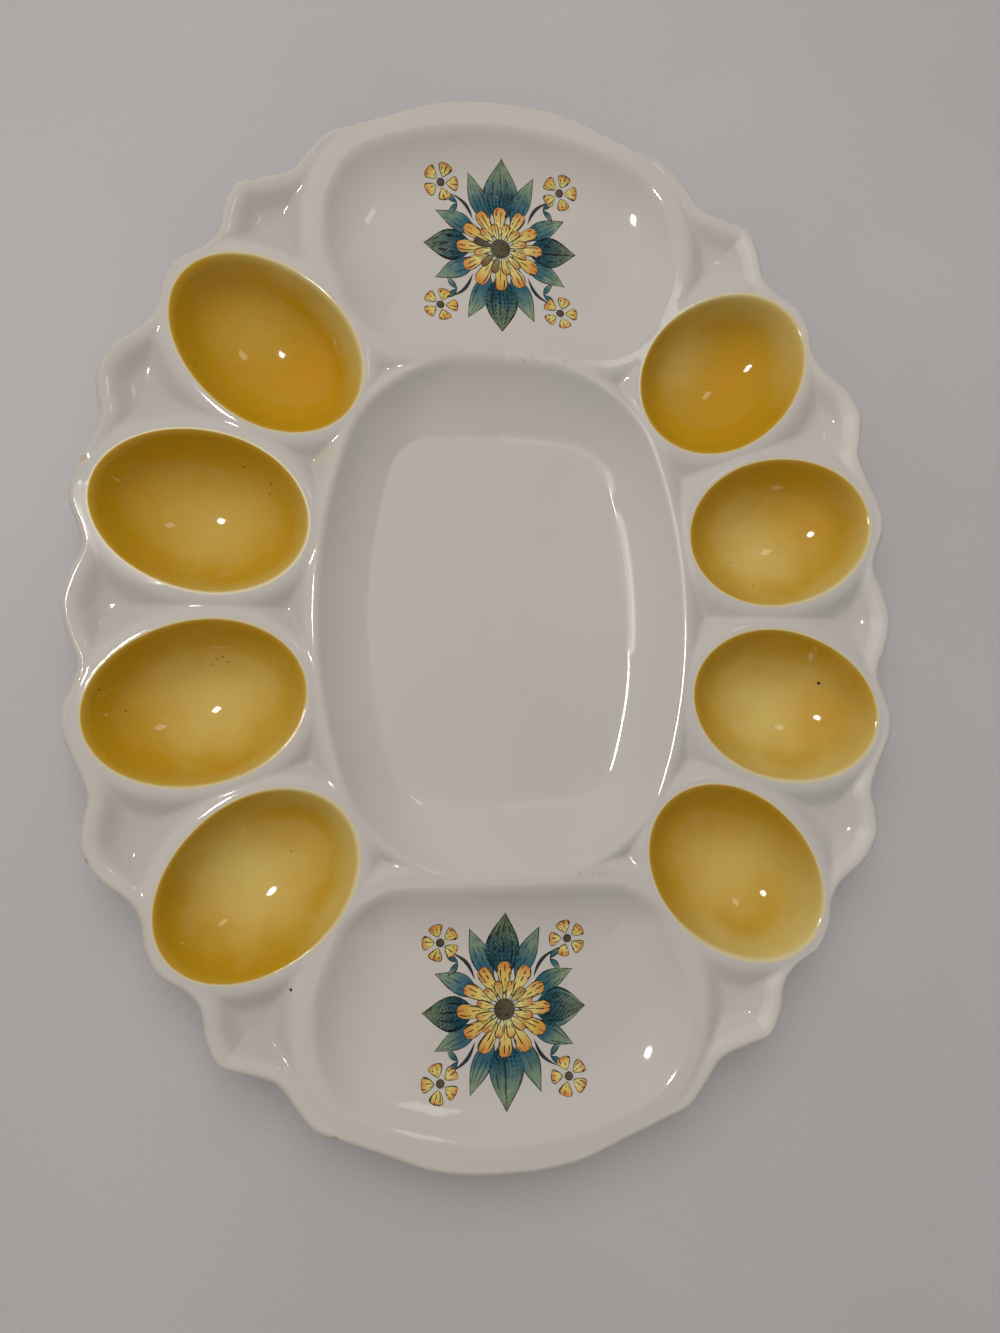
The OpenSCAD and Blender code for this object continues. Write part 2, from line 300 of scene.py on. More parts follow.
def whole_edge():
    """The four quarters of the scalloped edge, clockwise from the far end."""
    quarter = np.array(edge_shares, float)
    side = np.vstack([quarter, quarter[-2::-1] * (1, -1)])
    return np.vstack([side, side[-2:0:-1] * (-1, 1)])


# Distances from the edge are only worked out near it, for a few thousand places at a time
deep_inside, edge_zone, at_a_time = 40.0, 0.72, 3000


def edge_distance(p, loop):
    """Distance in from the edge of the platter."""
    inside = np.full(len(p), deep_inside)
    close = np.flatnonzero(np.hypot(*(p / half).T) > edge_zone)
    a, b = loop, np.roll(loop, -1, 0)
    run = b - a
    length = (run**2).sum(1)
    for part in np.array_split(close, max(1, len(close) // at_a_time)):
        x, y = p[part, 0, None], p[part, 1, None]
        t = np.clip(((x - a[:, 0]) * run[:, 0] + (y - a[:, 1]) * run[:, 1]) / length, 0, 1)
        gap = np.hypot(x - a[:, 0] - t * run[:, 0], y - a[:, 1] - t * run[:, 1]).min(1)
        above = a[:, 1] > y
        crossed = above != (b[:, 1] > y)
        slope = run[:, 0] / np.where(run[:, 1] == 0, 1e-9, run[:, 1])
        hits = (crossed & (x < slope * (y - a[:, 1]) + a[:, 0])).sum(1)
        inside[part] = np.where(hits % 2 == 1, gap, -gap)
    return inside


def rounded_meeting(a, b, radius):
    """Distance to where two straight or bowed sides meet in a rounded corner."""
    a, b = a + radius, b + radius
    outer = np.hypot(np.maximum(a, 0), np.maximum(b, 0))
    return outer + np.minimum(np.maximum(a, b), 0) - radius


def basin_distance(p, way=0.0):
    """Distance out from the bowed outline of the basin: 0 is its rim, 1 its floor."""
    x, y = np.abs(p).T
    half_w, half_l = basin_w / 2 - way * side_run, basin_l / 2 - way * end_run
    side = np.hypot(x + basin_side_r - half_w, y) - basin_side_r
    end = np.hypot(x, y + basin_end_r - half_l) - basin_end_r
    return rounded_meeting(side, end, basin_corner_r + way * (floor_corner_r - basin_corner_r))


def floor_distance(p):
    """Distance out from the outline of the basin's floor."""
    return basin_distance(p, 1.0)


def basin_depth(p, grow=0.0):
    """Depth of the basin's hollow wall: steep at the rim, and running on below the floor."""
    basin = basin_distance(p)
    way = (grow - basin) / np.maximum(floor_distance(p) - basin, 1.0)
    bend = 1 - np.maximum(1 - way, 0) ** wall_bend
    return basin_d * (foot_of_wall_share * way + (1 - foot_of_wall_share) * bend)


def end_distance(p):
    """Distance out from the outline of an end compartment."""
    x, y = np.abs(p).T
    waist = np.array([waist_w / 2 - waist_r, end_inner_y + waist_r])
    shoulder = np.array([end_w / 2 - shoulder_r, end_outer_y - shoulder_drop])
    lean = shoulder - waist
    reach = np.hypot(*lean)
    turn = math.atan2(lean[1], lean[0]) - math.acos((waist_r - shoulder_r) / reach)
    side = (x - waist[0]) * math.cos(turn) + (y - waist[1]) * math.sin(turn) - waist_r
    arc = np.hypot(x, y - (end_outer_y - end_arc_r)) - end_arc_r
    return rounded_meeting(rounded_meeting(side, arc, shoulder_r), end_inner_y - y, waist_r)


def end_depth(inside):
    """Depth of an end compartment at a distance in from its outline."""
    way = np.clip(inside / end_wall_run, 0, 1)
    return end_d * (1 - (1 - way) ** end_wall_bend)


def well_frame(quarter):
    """Widest point of a well in the first quarter, and the directions of its axes."""
    centre = np.array(well_shares[quarter]) * (half + edge_margin)
    turn = math.radians(well_turns[quarter])
    along = np.array([math.cos(turn), math.sin(turn)])
    return centre, along, np.array([-along[1], along[0]])


def well_places(p):
    """Place in each well's own axes: both wells of a quarter, and the one across Y = 0."""
    folded = np.abs(p)
    for quarter, flip in ((0, 1), (1, 1), (1, -1)):
        centre, along, across = well_frame(quarter)
        offset = folded * (1, flip) - centre
        yield offset @ along, offset @ across


def well_distance(u, v):
    """Distance out from the outline of a well."""
    reach = np.where(u > 0, well_out, well_in)
    breadth = well_w / 2
    grow = (np.hypot(u / reach, v / breadth) - 1) * breadth
    for _ in range(6):
        a, b = np.maximum(reach + grow, 1), np.maximum(breadth + grow, 1)
        error = (u / a) ** 2 + (v / b) ** 2 - 1
        grow = grow + error / np.maximum(2 * (u**2 / a**3 + v**2 / b**3), 1e-3)
    return grow


def egg_depth(u, v, grow=0.0):
    """Height of the egg's lower half over the land, or of a larger egg's."""
    reach = np.where(u > 0, well_out, well_in) * well_stretch + grow
    left = 1 - (u / reach) ** 2 - (v / (well_r + grow)) ** 2
    return well_lift - (well_r + grow) * np.sqrt(np.maximum(left, 0))


def soft_min(a, b, k):
    """The lower of two heights, with a fillet of about k where they meet."""
    h = np.maximum(k - np.abs(a - b), 0)
    return np.minimum(a, b) - h * h / (4 * k)


def cut_in(height, hollow, here, fillet):
    """Cuts a hollow into a height where it reaches, with a fillet at its edge."""
    return soft_min(height, np.where(here, hollow, clear_above), fillet)


def glide(value, start, end):
    """Smooth step from 0 at start to 1 at end."""
    t = np.clip((value - start) / (end - start), 0, 1)
    return t * t * t * (t * (6 * t - 15) + 10)


def band(value, low, full, still_full, gone):
    """Soft band that is 1 between two values and fades to 0 on both sides."""
    return glide(value, low, full) * glide(-value, -gone, -still_full)


def pocket_gap(inside, basin, end, wells):
    """Distance into a pocket from the ridges, the collars and the bead round it."""
    gap = soft_min(basin - ridge_w, end - end_ridge_w, ridge_fillet)
    gap = soft_min(gap, inside - bead_w, bead_fillet)
    for away in wells:
        gap = soft_min(gap, away - collar_w, ridge_fillet)
    return gap


def top_height(p):
    """Height of the glazed top, against the top of the rims."""
    inside = edge_distance(p, edge_loop)
    basin, end = basin_distance(p), end_distance(p)
    wells = [(well_distance(u, v), egg_depth(u, v)) for u, v in well_places(p)]
    gap = pocket_gap(inside, basin, end, [away for away, _ in wells])
    drop = -soft_min(-pocket_slope * (gap + slope_start), np.zeros(len(p)), land_fillet)
    pocket = pocket_d + pocket_fall * np.maximum(gap - fall_start, 0)
    height = -soft_min(drop, pocket, pocket_fillet)
    for away, depth in wells:
        lip = lip_lift * glide(away, -lip_reach, 0)
        height = cut_in(height, depth + lip, away < well_reach, well_fillet)
    crease = crease_sharp + crease_softer * glide(-p[:, 1], *crease_run)
    bowl = -soft_min(basin_depth(p), np.full(len(p), basin_d), crease)
    height = cut_in(height, bowl, basin < tub_reach, basin_fillet)
    dish = np.where(end < 0, -end_depth(-end), end * end_rise)
    height = cut_in(height, dish, end < tub_reach, end_fillet)
    outer = np.clip(1 - inside / bead_drop, 0, 1)
    height = height - bead_drop * (1 - np.sqrt(1 - outer**2))
    height = height - np.maximum(bead_w / 2 - inside, 0) ** 2 / (2 * bead_crown_r)
    for warp_x, warp_y, reach, fall_x, fall_y in warps:
        offset = p - (warp_x, warp_y)
        lean = offset @ (fall_x, fall_y) - warp_level_share * reach * math.hypot(fall_x, fall_y)
        height = height + lean * np.exp(-(offset**2).sum(1) / reach**2)
    x, y = p.T
    wave = np.sin(x / 13 + 1.3 * np.sin(y / 31)) * np.sin(y / 17 + 0.7) + np.sin(x / 29 - y / 23)
    height = height + wave_height * (wave - 2)
    for chip in chips:
        dent = np.hypot(*(p - chip).T) / chip_w
        height = height - chip_d * np.exp(-(dent**2))
    return height


def back_height(p):
    """Height of the underside, against the top of the rims."""
    inside = edge_distance(p, edge_loop)
    end = end_distance(p)
    under = 1 - (1 - np.clip(inside / tuck, 0, 1)) ** tuck_bend
    rise = pocket_d + wall - bead_drop
    height = -bead_drop - rise * under**tuck_round
    for u, v in well_places(p):
        cup = np.where(well_distance(u, v) < 2 * wall, egg_depth(u, v, wall), 0.0)
        height = soft_min(height, cup, under_cup_fillet)
    tub = -wall - soft_min(basin_depth(p, wall), np.full(len(p), basin_d), under_fillet)
    trough = np.where(end < wall, -wall - end_depth(wall - end), 0.0)
    height = soft_min(soft_min(height, tub, under_fillet), trough, under_fillet)
    foot = np.abs(floor_distance(p) + foot_w / 2 - foot_reach)
    slope = glide(foot, foot_w / 2 - foot_slope_in, foot_w / 2 + foot_slope_out)
    ring = -top_z + (top_z - basin_d) * slope
    return np.maximum(np.minimum(height, ring), -top_z)


def level_line(field, centre, reach, level, spacing):
    """Points along the line where a field has one value, an even spacing apart."""
    turn = np.linspace(0, 2 * math.pi, 1500, endpoint=False)
    ray = np.stack([np.cos(turn), np.sin(turn)], 1)
    near, away = np.zeros(len(ray)), np.full(len(ray), float(reach))
    for _ in range(22):
        middle = (near + away) / 2
        beyond = field(centre + ray * middle[:, None]) > level
        away, near = np.where(beyond, middle, away), np.where(beyond, near, middle)
    loop = centre + ray * near[:, None]
    steps = np.hypot(*(np.roll(loop, -1, 0) - loop).T)
    along = np.concatenate([[0], np.cumsum(steps)])
    loop = np.vstack([loop, loop[:1]])
    at = np.linspace(0, along[-1], max(12, int(along[-1] / spacing)), endpoint=False)
    return np.stack([np.interp(at, along, loop[:, axis]) for axis in (0, 1)], 1)


def egg_ring(grow, count, share=1.0):
    """Outline of a well in its own axes, drawn out by a distance or shrunk by a share."""
    turn = np.linspace(0, 2 * math.pi, count, endpoint=False)
    reach = np.where(np.cos(turn) > 0, well_out, well_in) + grow
    return np.stack([reach * np.cos(turn), (well_w / 2 + grow) * np.sin(turn)], 1) * share


def in_well(points, side, number):
    """Moves points from a well's own axes to its place on the platter."""
    centre, along, across = well_frame(number - 1 if number < 3 else 4 - number)
    placed = centre + points[:, :1] * along + points[:, 1:] * across
    return placed * (-1 if side == "left" else 1, 1 if number < 3 else -1)


def sample_places(
    rim_insets, well_grows, basin_levels, floor_levels, end_levels, spacing, fill
):
    """Places for the mesh, in rings that follow each edge and in a grid between them."""
    rim = [dense_edge * (1 - inset / half) for inset in rim_insets]
    wells = [in_well(egg_ring(grow, well_count), side, number) for grow in well_grows
             for side in ("left", "right") for number in (1, 2, 3, 4)]
    basin, floor, ends = (
        [level_line(field, np.array(middle), reach, level, spacing) for level in levels]
        for field, middle, reach, levels in (
            (basin_distance, (0, 0), 140, basin_levels),
            (floor_distance, (0, 0), 140, floor_levels),
            (end_distance, (0, end_middle_y), 90, end_levels),
        )
    )
    ends += [ring * (1, -1) for ring in ends]
    x, y = np.meshgrid(np.arange(-half[0], half[0], fill),
                       np.arange(-half[1], half[1], fill * 0.866))
    x = x + (np.arange(len(x)) % 2)[:, None] * fill / 2
    grid = [np.stack([x.ravel(), y.ravel()], 1)]
    rings = (rim[1:], wells, basin, floor, ends)
    points = [np.vstack(part) for part in (*rings, grid)]
    owner = np.concatenate([np.full(len(part), i) for i, part in enumerate(points)])
    points = np.vstack(points)
    away = np.stack([
        edge_distance(points, edge_loop),
        np.min([np.abs(well_distance(u, v)) for u, v in well_places(points)], 0),
        np.abs(basin_distance(points)),
        np.abs(floor_distance(points)),
        np.abs(end_distance(points)),
    ])
    last = [rim_insets[-1], well_grows[-1], basin_levels[-1], floor_levels[-1], end_levels[-1]]
    clear = np.min(away - np.array(last)[:, None], 0) > fill / 2
    own = away[np.minimum(owner, len(rings) - 1), np.arange(len(points))]
    others = np.where(np.arange(len(rings))[:, None] == owner, 99.0, away).min(0)
    keep = np.where(owner == len(rings), clear, own < others - spacing / 4) & (away[0] > 0.05)
    return np.vstack([rim[0], points[keep]])


def triangles(points, border):
    """Delaunay triangles over places inside a border of the first points."""
    edges = [(i, (i + 1) % border) for i in range(border)]
    made = delaunay_2d_cdt([Vector(p) for p in points], edges, [], 1, 1e-7)
    first = np.array([origin[0] for origin in made[3]])
    return first[np.array(made[2])]


def slope_normals(height, p, up):
    """Normals of a height field, from its slope."""
    step = 0.03
    rise = [(height(p + shift) - height(p - shift)) / (2 * step)
            for shift in (np.array([step, 0]), np.array([0, step]))]
    normal = np.stack([-rise[0], -rise[1], np.ones(len(p))], 1) * up
    return normal / np.linalg.norm(normal, axis=1)[:, None]


def link_mesh(name, points, faces, material, normals, **layers):
    """Mesh object from points in millimetres, with smooth shading and named values."""
    mesh = bpy.data.meshes.new(name)
    faces = faces.tolist() if isinstance(faces, np.ndarray) else faces
    mesh.from_pydata((np.asarray(points) * MM).tolist(), [], faces)
    mesh.shade_smooth()
    for key, values in layers.items():
        mesh.attributes.new(key, "FLOAT", "POINT").data.foreach_set("value", values)
    mesh.normals_split_custom_set_from_vertices(normals.tolist())
    mesh.materials.append(material)
    return new_object(name, mesh)


edge_loop = closed_curve(whole_edge(), 5) * half
dense_edge = closed_curve(whole_edge(), 9) * half
well_count = 120
# How thick the yellow linings are, how far they reach over the lip, and how far inside it
# they are at full thickness. Under them the white lies a little deeper, and much deeper
# further in, so that it never shows through
lining_t, lining_edge, lining_full = 0.35, 0.5, 0.9
under_edge, under_middle, under_run = 0.05, 0.7, (1, 4)

top_p = sample_places(
    rim_insets=(0, 0.08, 0.3, 0.62, 1.0, 1.45, 1.9, 2.4, 3.0, 3.7, 4.4, 5.1, 5.9, 6.8, 7.8,
                9.0, 10.4),
    well_grows=(-7, -3, -1.3, -0.6, -0.1, 0.25, lining_edge, 0.9, 1.3, 1.8, 2.4, 3.1, 3.8,
                4.5, 5.2, 6.0, 6.8, 7.7, 8.7, 9.8, 11.0),
    basin_levels=(-11, -9, -7.3, -5.6, -4.2, -3, -2, -1.3, -0.7, -0.3, 0.1, 0.5, 1.0, 1.6, 2.3,
                  3.1, 4.0, 5.0, 6.0, 7.0, 8.2),
    floor_levels=(-4, -2.6, -1.7, -1.1, -0.6, -0.2, 0.2, 0.6, 1.1, 1.7, 2.6, 3.8, 5.2, 7),
    end_levels=(-24, -21, -18.5, -16, -13.5, -11, -9, -7.2, -5.6, -4.2, -3, -2.1, -1.3, -0.6,
                0, 0.6, 1.3, 2.1, 3, 4, 5.2, 6.4, 7.4, 8.3, 9.2, 10.2, 11.4, 13),
    spacing=1.5,
    fill=2.4,
)
back_p = sample_places(
    rim_insets=(0, 0.15, 0.5, 1.0, 1.7, 2.6, 3.7, 5.0, 6.6, 8.6, 11),
    well_grows=(-18, -13, -9.5, -6.5, -4, -2, -0.3, 1.2, 2.6, 3.8, 4.8, 5.8, 6.8, 8, 9.5, 11),
    basin_levels=(-3, -1, 1, 3, 4.6, 6.2, 8),
    floor_levels=(-6, -4, -2.6, -1.6, -0.9, -0.2, 0.5, 1.3, 2.5, 3.8, 4.7, 5.4, 6.1, 6.9, 7.8,
                  9, 10.5),
    end_levels=(-20, -15, -11, -7.5, -4.5, -2, 0, 2, 3.6, 5, 6.4, 8, 10),
    spacing=1.6,
    fill=2.4,
)
border = len(dense_edge)
shell = np.vstack([top_p, back_p[border:]])
well_away = np.min([well_distance(u, v) for u, v in well_places(top_p)], 0)
sunk = (lining_t + under_edge) * glide(-well_away, -lining_edge, lining_full)
sunk = sunk + under_middle * glide(-well_away, *under_run)
top_z_line = top_height(top_p) - sunk
top_z_line[:border] = -bead_drop - bead_w**2 / (8 * bead_crown_r) - 2 * wave_height
height = np.concatenate([top_z_line, back_height(back_p[border:])])
top_faces = triangles(top_p, border)
back_faces = triangles(back_p, border)[:, ::-1]
back_faces = np.where(back_faces < border, back_faces, back_faces + len(top_p) - border)
normals = np.vstack([slope_normals(top_height, top_p, 1),
                     slope_normals(back_height, back_p[border:], -1)])
ahead = np.roll(dense_edge, -1, 0) - np.roll(dense_edge, 1, 0)
normals[:border] = np.stack([-ahead[:, 1], ahead[:, 0], np.zeros(border)], 1)
normals[:border] /= np.linalg.norm(normals[:border], axis=1)[:, None]
normals[:border] *= np.sign((normals[:border, :2] * dense_edge).sum())

# Where the glaze runs thin: a line behind each edge, and how much fainter it is there
rim_away = edge_distance(top_p, edge_loop)
basin_away, end_away = basin_distance(top_p), end_distance(top_p)
thin_w = 1.1
thin_lines = ((rim_away, 0.8, 0), (well_away, 0.7, 1.2), (basin_away, 0.6, 0.9),
              (end_away, 0.8, 0.9))
near_edges = np.min([np.abs(away - behind) + fainter for away, behind, fainter in thin_lines], 0)
thin = np.exp(-((near_edges / thin_w) ** 2))

# Where the glaze pools, with painted shade: the pockets are painted darker, less so towards the
# right
x, y = top_p.T
pool_share, pool_less = 0.85, 0.6
pool = glide(pocket_gap(rim_away, basin_away, end_away, [well_away]), -0.8, 3.2)
pool = pool * (pool_share - pool_less * glide(x, -20, 60))

# Where the glaze is dull. On the right: the basin's crease but for a long streak and a
# spot, the far half of its ridge, and the bead. On the left: the second well's collar
streak_y, spot_y, spot_reach, crease_w = (-62, -52, -14, -8), 38, 4, 2.2
bead_band, ridge_band, ridge_share = (0.8, 2.0, 5.5, 7.5), (-1.5, 0, 3.5, 5), 0.85
collar_y, collar_reach = (4, 8, 33, 37), (3.5, 5)
streaks = band(y, *streak_y) + np.exp(-(((y - spot_y) / spot_reach) ** 2))
crease = np.exp(-((floor_distance(top_p) / crease_w) ** 2))
crease_dull = (1 - np.clip(streaks, 0, 1)) * crease
bead_dull = band(rim_away, *bead_band) * glide(x, 55, 75)
ridge_dull = ridge_share * glide(y, -14, 6) * band(basin_away, *ridge_band)
collar_dull = 1 - glide(well_away, *collar_reach)
collar_dull = collar_dull * glide(rim_away, 1.6, 2.6) * glide(-x, 98, 104) * band(y, *collar_y)
dull = np.where(x > 0, np.max([crease_dull, bead_dull, ridge_dull], 0), collar_dull)
no_layer = np.zeros(len(back_p) - border)
thin, pool, dull = (np.concatenate([layer, no_layer]) for layer in (thin, pool, dull))


def new_group(name, inputs, outputs):
    """Shader node group with named sockets: inputs and outputs map a name to its kind."""
    group = bpy.data.node_groups.new(name, "ShaderNodeTree")
    for way, sockets in (("INPUT", inputs), ("OUTPUT", outputs)):
        for key, kind in sockets.items():
            group.interface.new_socket(key, in_out=way, socket_type="NodeSocket" + kind)
    takes = group.nodes.new("NodeGroupInput").outputs
    gives = group.nodes.new("NodeGroupOutput").inputs
    return group, takes, gives


def use_group(tree, group, **inputs):
    """A node group placed in a material with its own values."""
    node = tree.nodes.new("ShaderNodeGroup")
    node.node_tree = group
    for key, value in inputs.items():
        socket = node.inputs[key.replace("_", " ").capitalize()]
        if isinstance(value, bpy.types.NodeSocket):
            tree.links.new(value, socket)
        else:
            socket.default_value = value
    return node.outputs


# Pinholes: dark specks of iron or dirt caught in the glaze, a few to the hand's breadth
pinholes, takes, gives = new_group(
    "pinholes",
    {"Place": "Vector", "Scale": "Float", "Share": "Float", "Size": "Float"},
    {"Mask": "Float"},
)
cells = add(pinholes, "TexVoronoi", {"Vector": takes["Place"], "Scale": takes["Scale"]})
chance = add(pinholes, "SeparateColor", {0: cells.outputs["Color"]})
spot = calc(pinholes, "LESS_THAN", cells.outputs["Distance"],
            calc(pinholes, "MULTIPLY", takes["Size"], chance.outputs[1]))
drawn = calc(pinholes, "LESS_THAN", chance.outputs[0], takes["Share"])
pinholes.links.new(calc(pinholes, "MULTIPLY", spot, drawn), gives["Mask"])

# Glaze skin: the slow waves and fine dimples that a dipped glaze sets with
glaze_skin, takes, gives = new_group(
    "glaze_skin",
    {"Place": "Vector", "Wave scale": "Float", "Dimple scale": "Float", "Dimples": "Float"},
    {"Height": "Float"},
)
wave = mottle(glaze_skin, takes["Place"], takes["Wave scale"], 1.0)
dimple = mottle(glaze_skin, takes["Place"], takes["Dimple scale"], 2.0)
glaze_skin.links.new(
    calc(glaze_skin, "MULTIPLY_ADD", dimple, takes["Dimples"], wave), gives["Height"]
)


def set_relief(tree, surface, place, waves, fine, dimples, strength, rise):
    """Gives a material the glaze skin's relief, as the bump of its surface."""
    skin = use_group(tree, glaze_skin, place=place, wave_scale=waves, dimple_scale=fine,
                     dimples=dimples)
    bump = add(tree, "Bump", {"Height": skin["Height"], "Strength": strength, "Distance": rise})
    tree.links.new(bump.outputs["Normal"], surface.inputs["Normal"])


# Chip mask: where the glaze has flaked off the rim and the clay shows
chip_mask, takes, gives = new_group(
    "chip_mask", {"Place": "Vector", "Reach": "Float"}, {"Mask": "Float"}
)
ragged = mottle(chip_mask, takes["Place"], 900.0, 3.0)
nearest = None
for chip_x, chip_y in chips:
    spot_at = (chip_x * MM, chip_y * MM, (top_z - 0.6) * MM)
    gap_to = calc_vector(chip_mask, "DISTANCE", takes["Place"], spot_at)
    nearest = gap_to if nearest is None else calc(chip_mask, "MINIMUM", nearest, gap_to)
reach = calc(chip_mask, "MULTIPLY", takes["Reach"], ease(chip_mask, ragged, 0.25, 0.75, 0.5, 1.5))
chip_mask.links.new(calc(chip_mask, "LESS_THAN", nearest, reach), gives["Mask"])

glaze_colour = (0.700, 0.645, 0.592, 1)
glaze_cool = (0.662, 0.622, 0.588, 1)
# Pooled glaze, darker still as painted shade in the pockets
glaze_pooled = (0.590, 0.538, 0.508, 1)
thin_colour = (0.640, 0.540, 0.420, 1)
clay_colour = (0.560, 0.400, 0.250, 1)
speck_colour = (0.050, 0.035, 0.020, 1)
haze_colour = (0.780, 0.640, 0.220, 1)
dirt_colour = (0.300, 0.270, 0.230, 1)
dull_rough, clay_rough = 0.5, 0.85
haze_place = (-55.0, 46.2, 21.0)
dirt_places = ((11.1, 80.6, 24.0, 14.0), (27.3, 79.0, 24.0, 7.0), (25.1, -79.0, 24.0, 7.0))

white_glaze, tree, surface = new_material("white_glaze", roughness=0.06, ior=1.5)
place = object_place(tree)
cloud = mottle(tree, place, 14.0, 3.0)
colour = tint(tree, ease(tree, cloud, 0.35, 0.7), glaze_colour, glaze_cool)
# Pooled glaze and painted shade: the pockets darker, less so towards the right
colour = tint(tree, mesh_value(tree, "pool"), colour, glaze_pooled)
breakup = ease(tree, mottle(tree, place, 160.0, 3.0), 0.35, 0.7)
bare = calc(tree, "MULTIPLY_ADD", breakup, 0.45, 0.05)
bare = calc(tree, "MULTIPLY", mesh_value(tree, "thin"), bare)
colour = tint(tree, bare, colour, thin_colour)
haze_at = tuple(value * MM for value in haze_place)
haze = calc_vector(tree, "DISTANCE", place, haze_at)
haze = calc(tree, "MULTIPLY", ease(tree, haze, 0.0015, 0.0065, 0.34, 0.0),
            ease(tree, mottle(tree, place, 420.0), 0.3, 0.62))
colour = tint(tree, haze, colour, haze_colour)
grime = mottle(tree, place, 700.0, 4.0, 0.65)
for dirt_x, dirt_y, dirt_z, dirt_reach in dirt_places:
    dirt_at = (dirt_x * MM, dirt_y * MM, dirt_z * MM)
    stretch = calc_vector(tree, "SUBTRACT", place, dirt_at)
    stretch = calc_vector(tree, "MULTIPLY", stretch, (1, 5, 2))
    away = calc_vector(tree, "LENGTH", stretch)
    near = ease(tree, away, 0.2 * dirt_reach * MM, dirt_reach * MM, 0.6, 0)
    dirt = calc(tree, "MULTIPLY", near, ease(tree, grime, 0.54, 0.66))
    colour = tint(tree, dirt, colour, dirt_colour)
specks = use_group(tree, pinholes, place=place, scale=95.0, share=0.05, size=0.09)["Mask"]
colour = tint(tree, specks, colour, speck_colour)
height_z = add(tree, "SeparateXYZ", {0: place}).outputs["Z"]
dry_foot = ease(tree, height_z, 0.4 * MM, 0.9 * MM, 1.0, 0.0)
chipped = use_group(tree, chip_mask, place=place, reach=chip_w * MM)["Mask"]
clay = calc(tree, "MAXIMUM", dry_foot, chipped)
clay_shade = tint(tree, breakup, clay_colour, thin_colour)
colour = tint(tree, clay, colour, clay_shade)
tree.links.new(colour, surface.inputs["Base Color"])
gloss = ease(tree, cloud, 0.3, 0.7, 0.045, 0.085)
for dulled, rough in ((mesh_value(tree, "dull"), dull_rough), (clay, clay_rough)):
    gloss = calc(tree, "MAXIMUM", gloss, calc(tree, "MULTIPLY", dulled, rough))
tree.links.new(gloss, surface.inputs["Roughness"])
set_relief(tree, surface, place, waves=45.0, fine=420.0, dimples=0.12, strength=0.25, rise=0.0006)

points = np.column_stack([shell, top_z + height])
points[:, 2] = np.clip(points[:, 2], 0, top_z)
platter = link_mesh(
    "platter_casting", points, np.vstack([top_faces, back_faces]), white_glaze, normals,
    thin=thin, pool=pool, dull=dull
)
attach(platter, "root")
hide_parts("platter_body")


# The yellow linings
# Coloured glaze, airbrushed into each well by hand before the last firing and fused to
# the white. Every well differs: where the spray ran thin, the white shows through. The
# pale patches are partly the spray's own paler yellow and partly painted light.
deep_amber = (0.570, 0.315, 0.008, 1)
# Pale yellow: the spray's paler colour, and painted light where the bowls are lit
pale_yellow_and_light = (0.750, 0.575, 0.170, 1)
warm_orange = (0.660, 0.310, 0.008, 1)
fade_cream = (0.730, 0.575, 0.190, 1)
lip_white = (0.790, 0.690, 0.400, 1)
# Dark specks in the yellow of single wells, and wells whose white lip is dull
speck_r, speck_share = 0.26, 0.75
well_specks = {
    ("left", 2): ((-79.1, 43.7), (-71.4, 36.2), (-71.0, 38.6)),
    ("left", 3): ((-86.2, -14.2), (-84.5, -13.6), (-83.0, -15.1), (-87.5, -15.7),
                  (-117.5, -24.4), (-111.5, -30.0)),
    ("left", 4): ((-63.7, -71.8),),
    ("right", 2): ((78.6, 20.3), (85.2, 12.2)),
}
glossy_lip = 0.07
lip_rough = {("left", 2): 0.42}

# Each well: middle and reach of its pale patch and how strong it is, middle and reach of
# its warm patch and how strong it is, and towards where its edge fades, how much, how far.
# The patches' middles lie deep in the well. Each pale patch is partly painted light, lightening
# the bowl where light falls on it
pale_d, warm_d = 14.0, 12.0
well_sprays_and_light = {
    ("left", 1): ((-76, 90, 16, 0.25), (-60, 76, 13, 0.7), (0.75, 0.65, 0.8, 6)),
    ("left", 2): ((-87, 28, 22, 0.55), (-70, 36, 12, 0.1), (0.6, -0.8, 0.45, 5)),
    ("left", 3): ((-86, -27, 24, 0.85), (-104, -38, 12, 0.1), (0.5, -0.85, 0.4, 4)),
    ("left", 4): ((-74, -79, 26, 0.95), (-84, -96, 12, 0.1), (1.0, 0.35, 0.75, 7)),
    ("right", 1): ((60, 92, 20, 0.6), (78, 84, 12, 0.4), (0.5, 0.85, 0.65, 8)),
    ("right", 2): ((89, 24, 24, 0.9), (104, 34, 13, 0.35), (0.7, -0.7, 0.6, 6)),
    ("right", 3): ((91, -29, 27, 1.0), (106, -28, 12, 0.35), (0.3, -0.95, 0.75, 9)),
    ("right", 4): ((76, -80, 25, 0.75), (72, -66, 10, 0.1), (0.35, -0.95, 0.95, 11)),
}

# Sprayed yellows with painted light: the pale patches are partly painted light
airbrush_and_light, takes, gives = new_group(
    "airbrush_and_light",
    {
        "Place": "Vector", "Depth": "Float",
        "Pale middle": "Vector", "Pale reach": "Float", "Pale share": "Float",
        "Warm middle": "Vector", "Warm reach": "Float", "Warm share": "Float",
        "Fade towards": "Vector", "Fade share": "Float", "Fade reach": "Float",
    },
    {"Colour": "Color", "Cover": "Float"},
)
drift = mottle(airbrush_and_light, takes["Place"], 60.0, 2.0)
spatter = mottle(airbrush_and_light, takes["Place"], 1500.0, 1.0)


def spray_patch(middle, reach, share):
    """Soft patch round a middle, with a wandering edge."""
    gap = calc_vector(airbrush_and_light, "DISTANCE", takes["Place"], takes[middle])
    gap = calc(airbrush_and_light, "DIVIDE", gap, takes[reach])
    gap = calc(airbrush_and_light, "MULTIPLY_ADD", drift, 0.9, calc(airbrush_and_light, "SUBTRACT", gap, 0.45))
    return calc(airbrush_and_light, "MULTIPLY", ease(airbrush_and_light, gap, -0.1, 1.2, 1.0, 0.0), takes[share])


